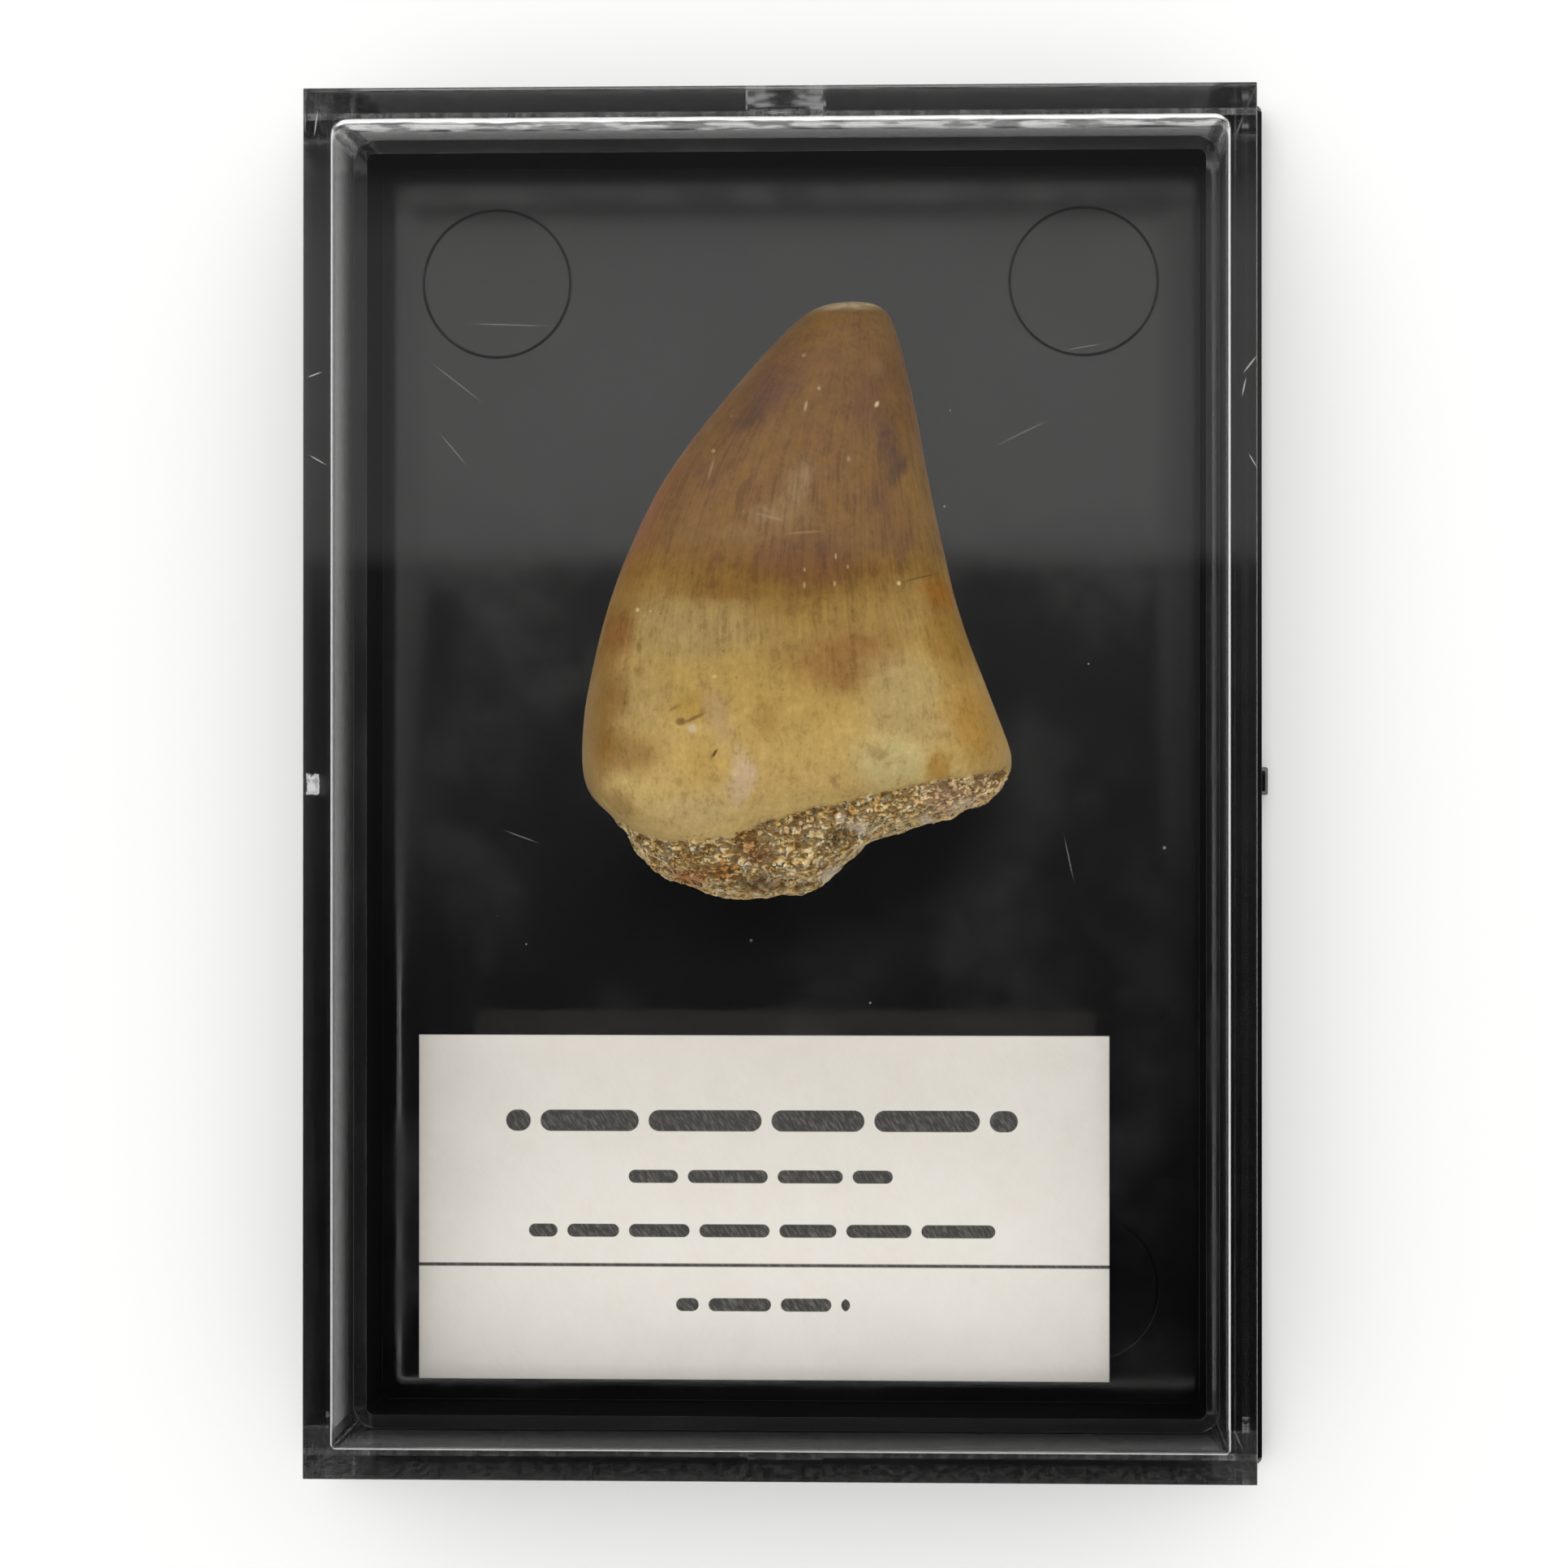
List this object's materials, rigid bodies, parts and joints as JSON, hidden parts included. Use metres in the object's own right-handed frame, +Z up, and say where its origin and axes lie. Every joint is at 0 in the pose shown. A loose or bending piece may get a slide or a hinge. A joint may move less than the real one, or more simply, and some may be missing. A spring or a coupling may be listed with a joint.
{
  "type": "fossil mosasaur tooth in a display case",
  "caption": "Fossil mosasaur tooth, crown with broken spongy root, lying in a flat display case with black base, clear lift-off lid and white paper label card.",
  "frame": {"origin": "middle of the case's flat underside", "axes": "+X to the right across the case's width with the label's lines, +Y along its length from the label toward the tip of the tooth, +Z up through the clear lid"},
  "size_m": [0.0579, 0.0828, 0.019],
  "materials": {
    "black_plastic": "glossy black moulded polystyrene with fine scratches and dust",
    "clear_plastic": "clear polished polystyrene with light handling scratches",
    "label_paper": "uncoated off-white card with plain dark bars and a ruled line in place of lettering",
    "fossil_tooth": "satin fossil enamel, brown at the tip to pale amber below, over rough spongy bone"
  },
  "bodies": {
    "root": {"case_base": "black_plastic", "case_lid": "clear_plastic", "label_card": "label_paper", "mosasaur_tooth": "fossil_tooth"}
  },
  "joints": []
}
